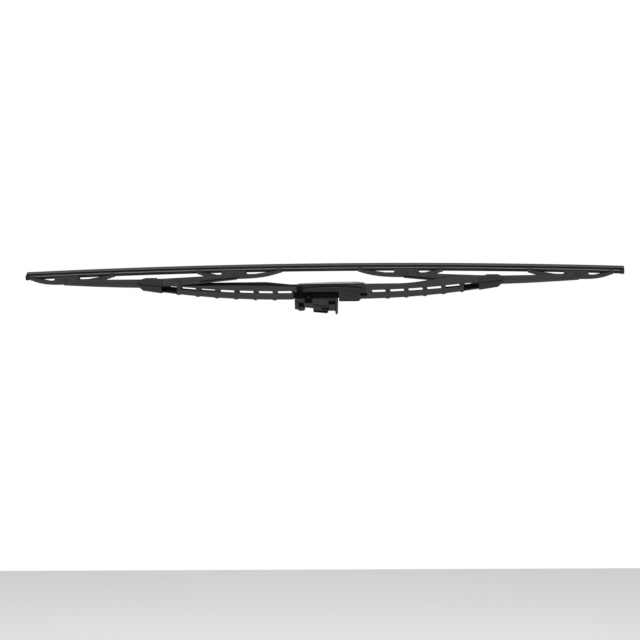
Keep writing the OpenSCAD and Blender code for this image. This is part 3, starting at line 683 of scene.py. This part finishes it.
@dataclass(frozen=True)
class RolledSteel:
    """Bare rolled steel with a soft oxide bloom."""

    name: str
    level: float = 0.13
    shades: Shades = Shades(0.8, 1.15, 0.10, 0.05)
    roughness: float = 0.50
    grain_width: float = 0.08
    stain_width: float = 0.10
    grain_per_metre: float = 5000.0
    grain_height: float = 0.004 * MM
    stain_per_metre: float = 38.0

    def build(self) -> Material:
        """Makes the material.

        Returns:
            The material.
        """
        g = Graph.of_material(self.name)
        grain = g.noise(self.grain_per_metre, 2.0)
        stain = g.noise(self.stain_per_metre, 3.0)
        return g.finish(g.surface({
            "Base Color": self.shades.mottle(g, stain, self.level),
            "Metallic": 1.0,
            "Roughness": g.spread(self.roughness, (grain, self.grain_width),
                                  (stain, self.stain_width)),
            "Normal": g.bump(grain, self.grain_height),
        }))


# Meshes

CREASE_DEGREES = 38.0
# The most of its shorter side that a corner's rounding may take
LONGEST_CUT = 0.48


def build_mesh(name: str, points: np.ndarray, faces: Sequence[Sequence[int]],
               material: Material,
               numbers: Optional[Mapping[str, np.ndarray]] = None) -> bpy.types.Object:
    """Turns arrays into a shaded object at the origin.

    Args:
        name: The piece's name.
        points: Corners as an array of rows of x, y and z, in metres.
        faces: Corner numbers of each face, counter-clockwise from outside.
        material: The finish.
        numbers: One number per corner under each attribute's name.

    Returns:
        The object.
    """
    mesh = bpy.data.meshes.new(name)
    mesh.from_pydata(points.tolist(), [], faces)
    mesh.validate()
    for key, values in (numbers or {}).items():
        layer = mesh.attributes.new(key, "FLOAT", "POINT")
        layer.data.foreach_set("value", np.ascontiguousarray(values, np.float32))
    return place_mesh(name, mesh, material, CREASE_DEGREES)


def place_mesh(name: str, mesh: bpy.types.Mesh, material: Material,
               crease_degrees: float) -> bpy.types.Object:
    """Shades a mesh and puts it into the scene as an object at the origin.

    Args:
        name: The piece's name.
        mesh: Its mesh.
        material: The finish.
        crease_degrees: Edges that turn more than this are drawn sharp.

    Returns:
        The object.
    """
    mesh.shade_smooth()
    mesh.set_sharp_from_angle(angle=math.radians(crease_degrees))
    mesh.materials.clear()
    mesh.materials.append(material)
    made = bpy.data.objects.new(name, mesh)
    bpy.context.scene.collection.objects.link(made)
    return made


def tube_faces(stations: int, around: int) -> list[list[int]]:
    """Faces of a closed tube: quads between neighbouring sections, and a cap at each end.

    Args:
        stations: Sections along the tube.
        around: Points in each section.

    Returns:
        Corner numbers of each face.
    """
    i = np.arange(stations - 1)[:, None] * around
    j = np.arange(around)[None, :]
    k = (j + 1) % around
    quads = np.stack([i + j, i + k, i + around + k, i + around + j], axis=-1).reshape(-1, 4)
    last = (stations - 1) * around
    return (quads.tolist() + [list(range(around - 1, -1, -1))]
            + [list(range(last, last + around))])


def rounded_corners(corners: np.ndarray, radii: Sequence[float], steps: int = 4) -> np.ndarray:
    """An outline whose corners are replaced by arcs.

    Each corner is cut back by its radius times the tangent of half its turn, and a quadratic
    curve that leans on the corner joins the two cuts.

    Args:
        corners: The outline's corners, in order.
        radii: One radius per corner.
        steps: Pieces of each arc.

    Returns:
        The new outline.
    """
    before = np.roll(corners, 1, axis=0) - corners
    after = np.roll(corners, -1, axis=0) - corners
    long_before = np.linalg.norm(before, axis=1, keepdims=True)
    long_after = np.linalg.norm(after, axis=1, keepdims=True)
    cosine = np.sum(before * after, axis=1, keepdims=True) / (long_before * long_after)
    turn = np.pi - np.arccos(np.clip(cosine, -1.0, 1.0))
    cut = np.asarray(radii, float)[:, None] * np.tan(turn / 2)
    cut = np.minimum(cut, LONGEST_CUT * np.minimum(long_before, long_after))
    start = corners + before / long_before * cut
    end = corners + after / long_after * cut
    t = np.linspace(0.0, 1.0, steps + 1)[None, :, None]
    arcs = ((1 - t) ** 2 * start[:, None] + 2 * t * (1 - t) * corners[:, None]
            + t ** 2 * end[:, None])
    return arcs.reshape(-1, 2)


# The blade's measures, in millimetres, as the frame was made

@dataclass(frozen=True)
class Bow:
    """The curve of the free strip, and where the levers and yokes stand on it."""

    radius: float = 8500.0
    arm_pin_x: float = -12.3
    arm_pin_depth: float = 36.5
    bridge_reach: float = 184.5
    main_pivot_depth: float = 20.8
    lever_reach: float = 91.2
    yoke_pivot_depth: float = 10.4
    yoke_long: float = 50.0
    yoke_short: float = 37.2

    def lever_arc(self) -> float:
        """Arc length from the middle to a lever's pivot."""
        return self.radius * math.atan2(self.bridge_reach, self.radius - self.main_pivot_depth)

    def yoke_arc(self, reach: Reach) -> float:
        """Arc length from the middle to a yoke's pivot."""
        turn = math.asin(self.lever_reach / (self.radius - self.yoke_pivot_depth))
        return self.lever_arc() + reach.value * self.radius * turn

    def points(self, arc: np.ndarray, depth: np.ndarray, across: np.ndarray) -> np.ndarray:
        """Places on the bow, in metres in the part's frame.

        The point at an arc length s and a depth d lies at the angle s / radius on a circle of
        the bow's radius less d. The whole is moved so that the arm pin's axis is the origin.

        Args:
            arc: Distances along the bow from the middle.
            depth: Depths below the lip.
            across: Y.

        Returns:
            Rows of x, y and z.
        """
        angle = arc / self.radius
        x = (self.radius - depth) * np.sin(angle) - self.arm_pin_x
        z = (self.radius - depth) * np.cos(angle) - self.radius + self.arm_pin_depth
        return np.stack(np.broadcast_arrays(x, across, z), axis=-1) * MM


@dataclass(frozen=True)
class StripSection:
    """The sections of the rubber and of a rail, as depth and half width in millimetres.

    The bends of the back are each the share of its height above its foot, and how far its
    sides are drawn in there.
    """

    lip_edge: float = 0.8
    lip_bend: Pair = (0.35, 0.12)
    lip_foot: float = 3.6
    lip_height: float = 2.7
    neck_width: float = 1.1
    neck_height: float = 0.9
    body_width: float = 6.6
    shoulder_bends: Pair = (0.25, 0.5)
    shoulder_inset: float = 0.3
    shoulder_height: float = 1.0
    spine_width: float = 3.2
    groove_height: float = 1.2
    back_height: float = 2.75
    back_bends: tuple[Pair, ...] = ((0.45, 0.0), (0.12, 0.5), (0.0, 1.3))
    radii: tuple[float, ...] = (0.12, 0.6, 0.25, 0.3, 0.3, 0.2, 0.4, 0.12, 0.1, 0.1, 0.12,
                                0.9, 0.5, 0.8)
    rail_width: float = 2.6
    rail_thick: float = 1.0
    rail_gap: float = 0.1
    rail_radius: float = 0.3

    def levels(self) -> tuple[float, float, float, float]:
        """Works out the depths of the steps in the section.

        Returns:
            Depths of the neck's foot, the groove's top, the groove's foot and the back's foot.
        """
        neck = self.lip_height + self.neck_height
        groove = neck + self.shoulder_height
        back = groove + self.groove_height
        return neck, groove, back, back + self.back_height

    def outline(self) -> np.ndarray:
        """The rubber's closed section with small roundings, the same on both sides.

        Returns:
            Rows of depth and Y, once round.
        """
        neck, groove, back, bottom = self.levels()
        body = self.body_width / 2
        share, bulge = self.lip_bend
        half = np.array([
            [0.0, self.lip_edge / 2],
            [self.lip_height * share, self.lip_edge / 2 + bulge],
            [self.lip_height, self.lip_foot / 2],
            [self.lip_height, self.neck_width / 2],
            [neck, self.neck_width / 2],
            [neck + self.shoulder_bends[0], body - self.shoulder_inset],
            [neck + self.shoulder_bends[1], body],
            [groove, body],
            [groove, self.spine_width / 2],
            [back, self.spine_width / 2],
            [back, body],
            *[[bottom - self.back_height * share, body - inset]
              for share, inset in self.back_bends],
        ])
        whole = np.concatenate([half, half[::-1] * (1.0, -1.0)])
        return rounded_corners(whole, self.radii + self.radii[::-1])

    def rail_outline(self, face: Face) -> np.ndarray:
        """The section of the rail in one groove, with a gap to the groove.

        Args:
            face: The side of the strip that the rail lies on.

        Returns:
            Rows of depth and Y, once round.
        """
        top = self.levels()[1] + self.rail_gap
        inner = self.spine_width / 2 + self.rail_gap
        bottom, outer = top + self.rail_thick, inner + self.rail_width
        corners = np.array([[top, inner], [top, outer], [bottom, outer], [bottom, inner]])
        if face is Face.FRONT:
            corners = corners[::-1] * (1.0, -1.0)
        return rounded_corners(corners, [self.rail_radius] * len(corners))


@dataclass(frozen=True)
class EndBlock:
    """The thickened end of the rubber, a block that is rounded all over, in millimetres."""

    length: float = 4.6
    top_gap: float = 0.1
    overhang: float = 0.35
    proud: float = 0.9
    radii: tuple[float, ...] = (1.2, 1.4, 1.4, 1.2)
    corner_steps: int = 6
    stations: int = 15
    shrink: float = 0.24
    power: float = 6.0

    def sections(self, section: StripSection) -> tuple[np.ndarray, np.ndarray]:
        """The block's sections, which shrink towards both ends as a superellipse does.

        At the angle a, from -90 to 90 degrees, a section stands at sin(a) of half the length
        from the middle, and its size is 1 - shrink * |sin(a)| ** power.

        Args:
            section: The strip's own section.

        Returns:
            Each section's place, from -1 to 1, and its rows of depth and Y.
        """
        top = section.levels()[0] + self.top_gap
        bottom = section.levels()[3] + self.overhang
        half = section.body_width / 2 + self.proud
        corners = np.array([[top, half], [bottom, half], [bottom, -half], [top, -half]])
        outline = rounded_corners(corners, self.radii, self.corner_steps)[::-1]
        centre = np.array([(top + bottom) / 2, 0.0])
        along = np.sin(np.linspace(-1.0, 1.0, self.stations) * np.pi / 2)
        size = 1.0 - self.shrink * np.abs(along) ** self.power
        return along, centre + (outline - centre)[None] * size[:, None, None]


@dataclass(frozen=True)
class Span:
    """A length of the strip between two arc lengths, and the one or two bodies it rides on."""

    name: str
    start: float
    end: float
    bodies: tuple[str, ...]

    def on(self, half: Half) -> "Span":
        """This span of either half of the blade as a span of one half.

        Args:
            half: The half. Arc lengths on the left one are negative.

        Returns:
            The span, with the half's word in its name and in its bodies' names.
        """
        name = f"{half.value}_{self.name}"
        bodies = tuple(body.format(half=half.value) for body in self.bodies)
        if half is Half.LEFT:
            return Span(name, -self.end, -self.start, bodies[::-1])
        return Span(name, self.start, self.end, bodies)


@dataclass(frozen=True)
class FlexingStrip:
    """The rubber and its rails, cut where they pass from one body of the frame to the next.

    Its sizes are arc lengths in millimetres, and the pairs are for the left and right ends.
    The tails reach past the outer claws, and the lip gaps are what the lip lacks of them.
    """

    bow: Bow = Bow()
    section: StripSection = StripSection()
    block: EndBlock = EndBlock()
    tails: Pair = (8.0, 14.2)
    claw_margin: float = 3.0
    handover_length: float = 11.0
    lip_gaps: Pair = (1.7, 0.6)
    rail_stop: float = 4.9
    longest_step: float = 3.0
    bend_depth: float = 5.0

    def ends(self) -> Pair:
        """Arc lengths at the strip's left and right ends."""
        claw = self.bow.yoke_arc(Reach.OUTER) + self.bow.yoke_short
        return -claw - self.tails[0], claw + self.tails[1]

    def spans(self) -> list[Span]:
        """Cuts the strip into spans from left to right.

        A yoke's own span lies between its claws, and past the outer claw. From there the strip
        passes to the lever's body at the lever's pivot, and from the inner yokes to the lever
        and then to the bridge at the middle.

        Returns:
            The spans.
        """
        b = self.bow
        left, right = self.ends()
        inner_claw = b.yoke_arc(Reach.INNER) - b.yoke_long - self.claw_margin
        handover = inner_claw - self.handover_length
        inner_end = b.yoke_arc(Reach.INNER) + b.yoke_short + self.claw_margin
        outer_start = b.yoke_arc(Reach.OUTER) - b.yoke_long - self.claw_margin
        lever, inner, outer = "lever_{half}", "yoke_{half}_inner", "yoke_{half}_outer"
        spans = (Span("middle", 0.0, handover, ("bridge", lever)),
                 Span("handover", handover, inner_claw, (lever, inner)),
                 Span("inner", inner_claw, inner_end, (inner,)),
                 Span("near", inner_end, b.lever_arc(), (inner, lever)),
                 Span("far", b.lever_arc(), outer_start, (lever, outer)))
        return [Span("left_end", left, -outer_start, ("yoke_left_outer",)),
                *[span.on(Half.LEFT) for span in reversed(spans)],
                *[span.on(Half.RIGHT) for span in spans],
                Span("right_end", outer_start, right, ("yoke_right_outer",))]

    def sweep(self, name: str, outline: np.ndarray, start: float, end: float,
              material: Material,
              lip_gaps: Pair = (0.0, 0.0)) -> bpy.types.Object:
        """Carries an outline along the bow.

        The end sections lean: at the lip they are drawn in by the lip gaps, and by nothing
        from the rail grooves down.

        Args:
            name: The piece's name.
            outline: The section as rows of depth and Y.
            start: Arc length at the first section.
            end: Arc length at the last section.
            material: The finish.
            lip_gaps: How far the lip stops short of the start and of the end.

        Returns:
            The piece.
        """
        count = max(2, int(math.ceil((end - start) / self.longest_step)) + 1)
        depth, across = outline[:, 0], outline[:, 1]
        arc = np.repeat(np.linspace(start, end, count)[:, None], len(outline), axis=1)
        lean = np.clip(1.0 - depth / (self.section.lip_height + 1.0), 0.0, 1.0)
        arc[0] += lip_gaps[0] * lean
        arc[-1] -= lip_gaps[1] * lean
        points = self.bow.points(arc, depth[None], across[None])
        return build_mesh(name, points.reshape(-1, 3), tube_faces(count, len(outline)),
                          material, numbers={"depth_mm": np.tile(depth, count)})

    def carry(self, piece: bpy.types.Object, span: Span, node: str) -> None:
        """Puts a piece in a node's place, on its span's body; a piece on a span of two bodies
        only has its place baked into its mesh.

        Args:
            piece: The piece.
            span: The span that it covers.
            node: The node that it stands for.
        """
        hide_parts(node)
        if len(span.bodies) == 1:
            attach(piece, span.bodies[0])
        else:
            low, high = self.bow.points(np.array([span.start, span.end]),
                                        np.full(2, self.bend_depth), np.zeros(2))
            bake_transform(piece)
        LOG.info("laid %s", piece.name)

    def build(self, rubber: Material, steel: Material) -> None:
        """Makes the rubber, both rails and the end blocks.

        Args:
            rubber: The strip's finish.
            steel: The rails' finish.
        """
        left, right = self.ends()
        for span in self.spans():
            lip_gaps = (self.lip_gaps[0] if span.start == left else 0.0,
                        self.lip_gaps[1] if span.end == right else 0.0)
            piece = self.sweep(f"rubber_{span.name}", self.section.outline(), span.start,
                               span.end, rubber, lip_gaps)
            self.carry(piece, span, "rubber_strip")
            for face in Face:
                rail = self.sweep(f"rail_{face.value}_{span.name}",
                                  self.section.rail_outline(face),
                                  max(span.start, left + self.rail_stop),
                                  min(span.end, right - self.rail_stop), steel)
                self.carry(rail, span, f"spring_rail_{face.value}")
        length = self.block.length
        self.end_block(Span("left", left, left + length, ("yoke_left_outer",)), rubber)
        self.end_block(Span("right", right - length, right, ("yoke_right_outer",)), rubber)

    def end_block(self, span: Span, rubber: Material) -> None:
        """Adds the block at one end.

        Args:
            span: Where the block lies, and its body.
            rubber: The finish.
        """
        along, sections = self.block.sections(self.section)
        arc = (span.start + span.end) / 2 + (span.end - span.start) / 2 * along
        depth, across = sections[..., 0], sections[..., 1]
        points = self.bow.points(arc[:, None], depth, across)
        piece = build_mesh(f"strip_end_{span.name}", points.reshape(-1, 3),
                           tube_faces(*depth.shape), rubber,
                           numbers={"depth_mm": depth.reshape(-1)})
        self.carry(piece, span, "rubber_strip")


class FinishedNodes:
    """The frame's own nodes as finished pieces, with their edges broken as a maker would."""

    MERGE = 0.002 * MM
    FLAT = math.radians(0.6)
    SHARP_DEGREES = 34.0

    def __init__(self, nodes: Mapping[str, bpy.types.Object], record: Mapping[str, Any]) -> None:
        """Holds the nodes, and looks up each one's body and material slot.

        Args:
            nodes: The frame's objects by name.
            record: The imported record.
        """
        self.nodes = nodes
        self.bodies = {name: body for body, names in record["behaviour"]["bodies"].items()
                       for name in names}
        self.slots = {part["node"]: part["material_slot"] for part in record["subparts"]}

    def finish(self, start: str, material: Material, edge: float = 0.2,
               segments: int = 2, clamp: bool = False) -> None:
        """Finishes every node whose name starts with the given words.

        Args:
            start: The first words of the nodes' names.
            material: The finish.
            edge: Width of the broken edges in millimetres.
            segments: Faces across a broken edge.
            clamp: Whether short edges narrow all the broken ones, as on a crowded outline.
        """
        for name in [n for n in self.nodes if n.startswith(start)]:
            piece = place_mesh(f"{name}_finished", self.whole_faces(name), material,
                               self.SHARP_DEGREES)
            bevel = piece.modifiers.new("broken_edges", "BEVEL")
            bevel.width = edge * MM
            bevel.segments = segments
            bevel.limit_method = "ANGLE"
            bevel.angle_limit = math.radians(self.SHARP_DEGREES)
            bevel.use_clamp_overlap = clamp
            bevel.harden_normals = True
            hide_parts(name)
            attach(piece, self.bodies[name])
            LOG.info("finished %s", name)

    def whole_faces(self, name: str) -> bpy.types.Mesh:
        """Copies a node's mesh and joins its loose triangles into whole faces.

        Args:
            name: The node.

        Returns:
            The new mesh.
        """
        mesh = self.nodes[name].data.copy()
        mesh.name = f"{name}_finished"
        shell = bmesh.new()
        shell.from_mesh(mesh)
        bmesh.ops.remove_doubles(shell, verts=shell.verts, dist=self.MERGE)
        bmesh.ops.dissolve_limit(shell, angle_limit=self.FLAT, verts=shell.verts,
                                 edges=shell.edges, use_dissolve_boundaries=False)
        shell.to_mesh(mesh)
        shell.free()
        return mesh


class BladeFrame(FinishedNodes):
    """The blade's steelwork and plastics, each with its own finish and marks."""

    def coat_steelwork(self) -> None:
        """Finishes the bridge, the levers and the yokes."""
        # Painted shade: the bridge's wall about the arm pin, inside the clip's window, is drawn
        # black
        pin_tongue_shade = Patch((-4.8, 4.8), (-4.8, 6.2))
        bridge = PowderCoat("bridge_coat", post_shade=SlotRow(), black_shade_marks=(pin_tongue_shade,))
        self.finish("primary_bridge", bridge.build())
        # Painted shadow: a dark line along each lever's lower edge, where it meets the bridge's
        # wall
        lever_shadow_lines = (ShadowLine((-118.0, 18.4), (-75.0, 22.2)), ShadowLine((101.0, 22.0), (144.0, 17.6)))
        lever = PowderCoat("lever_coat", level=0.026, roughness=0.47, black_shade_marks=lever_shadow_lines)
        self.finish("lever", lever.build())
        yoke = PowderCoat("yoke_coat", level=0.024).build()
        for half in Half:
            self.finish(f"yoke_{half.value}", yoke)

    def mould_plastics(self) -> None:
        """Finishes the housing, the joint covers and the arm clip."""
        # Painted shade on the housing: under its skirt, under its brow and at its left end
        skirt_shade = Patch((32.0, 56.0), (-6.0, -3.3))
        brow_shadow = Arch(middle=25.0, top=12.15, half_span=35.0, drop=2.9, half_width=0.85,
                         soft=0.51)
        left_end = Patch((-15.0, -5.8), (3.5, 12.5), soft=1.8)
        housing = MouldedPlastic("housing_plastic", level=0.019, painted_shade_level=0.005,
                                 painted_shade_marks=(skirt_shade, brow_shadow, left_end), upper_sheen=1.0,
                                 upper_from=13.0)
        self.finish("centre_housing", housing.build(), edge=0.3, segments=3)
        cover = MouldedPlastic("cover_plastic", level=0.020)
        self.finish("joint_cover", cover.build(), edge=0.4, segments=3)
        # Painted shade on the clip: its face inside the housing's window, its recesses, and all
        # of it nearer the middle than 6.5 mm
        window_shade = Patch((-20.0, 36.0), (-1.1, 12.0))
        recess_shades = (Patch((-4.3, 3.6), (-6.1, -1.0)), Patch((21.4, 29.0), (-7.8, -3.9)),
                    Patch((-20.0, -11.0), (-5.8, -5.0)), Patch((4.0, 20.6), (-16.6, -14.6)))
        clip = MouldedPlastic("clip_plastic", level=0.024,
                              painted_shade_marks=(window_shade, *recess_shades, Core(6.5)))
        self.finish("arm_clip", clip.build(), clamp=True)

    def finish_small_parts(self) -> None:
        """Finishes the bushes, the liners, the rivets and the arm pin."""
        bush = MouldedPlastic("bush_plastic", level=0.012, roughness=0.6).build()
        rivet = PowderCoat("pin_coat", level=0.014, roughness=0.42).build()
        # Painted shade: the arm pin is drawn near black, for the shade of the clip's window
        pin = PowderCoat("arm_pin_coat", level=0.005, edge_level=0.01, specular=0.08).build()
        for start, material in (("main_bushes", bush), ("yoke_liners", bush),
                                ("main_rivet", rivet), ("yoke_rivet", rivet), ("arm_pin", pin)):
            self.finish(start, material, edge=0.12)


# The studio

@dataclass(frozen=True)
class Lamp:
    """A soft rectangular lamp that looks at the blade."""

    name: str
    place: tuple[float, float, float]
    size: Pair
    watts: float

    def build(self) -> None:
        """Adds the lamp."""
        data = bpy.data.lights.new(self.name, "AREA")
        data.shape = "RECTANGLE"
        data.size, data.size_y = self.size
        data.energy = self.watts
        made = bpy.data.objects.new(self.name, data)
        made.location = self.place
        made.rotation_euler = (-Vector(self.place)).to_track_quat("-Z", "Y").to_euler()
        bpy.context.scene.collection.objects.link(made)


@dataclass(frozen=True)
class Studio:
    """White surroundings, two soft lamps, and a camera where the photograph was taken.

    Its sizes are in metres. The lens takes in frame_width at the blade.
    """

    distance: float = 3.0
    rise: float = 0.1456
    yaw_degrees: float = 3.7
    roll_degrees: float = -0.76
    frame_width: float = 0.6930
    target: tuple[float, float, float] = (0.01143, 0.0, -0.0249)
    sensor_millimetres: float = 36.0
    farthest: float = 20.0
    fill: float = 0.45
    floor_z: float = -0.45
    floor_half: float = 1.1
    floor_level: float = 0.90
    floor_shades: Shades = Shades(1.0, 0.93 / 0.90)
    floor_clouds_per_metre: float = 3.0
    lamps: tuple[Lamp, ...] = (Lamp("top_lamp", (0.0, -0.35, 1.3), (1.8, 0.6), 16.0),
                               Lamp("front_lamp", (0.0, -1.9, 0.7), (1.8, 0.9), 8.0))

    def camera(self) -> None:
        """Adds the camera, turned about the blade and rolled as the photograph is."""
        data = bpy.data.cameras.new("camera")
        data.sensor_width = self.sensor_millimetres
        data.lens = data.sensor_width * math.hypot(self.distance, self.rise) / self.frame_width
        data.clip_end = self.farthest
        made = bpy.data.objects.new("camera", data)
        aim = Vector(self.target)
        yaw = math.radians(self.yaw_degrees)
        made.location = aim + Vector((self.distance * math.sin(yaw),
                                      -self.distance * math.cos(yaw), self.rise))
        turn = (aim - made.location).to_track_quat("-Z", "Y")
        roll = Matrix.Rotation(math.radians(self.roll_degrees), 4, "Z")
        made.rotation_euler = (turn.to_matrix().to_4x4() @ roll).to_euler()
        bpy.context.scene.collection.objects.link(made)
        bpy.context.scene.camera = made

    def surroundings(self) -> None:
        """White to the eye and to reflections, and a weaker fill for all other light."""
        world = bpy.data.worlds.new("surroundings")
        bpy.context.scene.world = world
        g = Graph(world)
        seen, glossy, through = [g.node("ShaderNodeLightPath", output=f"Is {ray} Ray")
                                 for ray in ("Camera", "Glossy", "Transmission")]
        direct = seen.at_least(glossy).at_least(through)
        light = g.node("ShaderNodeBackground", None,
                       {"Color": grey(1.0), "Strength": direct * (1.0 - self.fill) + self.fill})
        g.finish(light, "ShaderNodeOutputWorld")

    def floor(self) -> None:
        """Lays a pale floor well below the blade, which hangs by its clip."""
        signs = np.array([[-1, -1], [1, -1], [1, 1], [-1, 1]])
        corners = np.insert(signs * self.floor_half, 2, self.floor_z, axis=1)
        g = Graph.of_material("studio_floor")
        clouds = g.noise(self.floor_clouds_per_metre, 1.0)
        colour = self.floor_shades.mottle(g, clouds, self.floor_level)
        material = g.finish(g.surface({"Base Color": colour, "Roughness": 0.9,
                                       "Specular IOR Level": 0.1}))
        build_mesh("studio_floor", corners, [[0, 1, 2, 3]], material)

    def build(self) -> None:
        """Adds the surroundings, the floor and the lamps."""
        bpy.context.scene.view_settings.view_transform = "Standard"
        self.surroundings()
        self.floor()
        for lamp in self.lamps:
            lamp.build()
        LOG.info("studio is lit")


def main() -> None:
    """Builds everything in order."""
    logging.basicConfig(level=logging.INFO, format="%(name)s: %(message)s")
    studio = Studio()
    studio.camera()
    studio.build()
    blade = BladeFrame(frame["nodes"], frame["record"])
    blade.coat_steelwork()
    blade.mould_plastics()
    blade.finish_small_parts()
    FlexingStrip().build(WiperRubber().build(), RolledSteel("rail_steel").build())


if __name__ == "__main__":
    main()
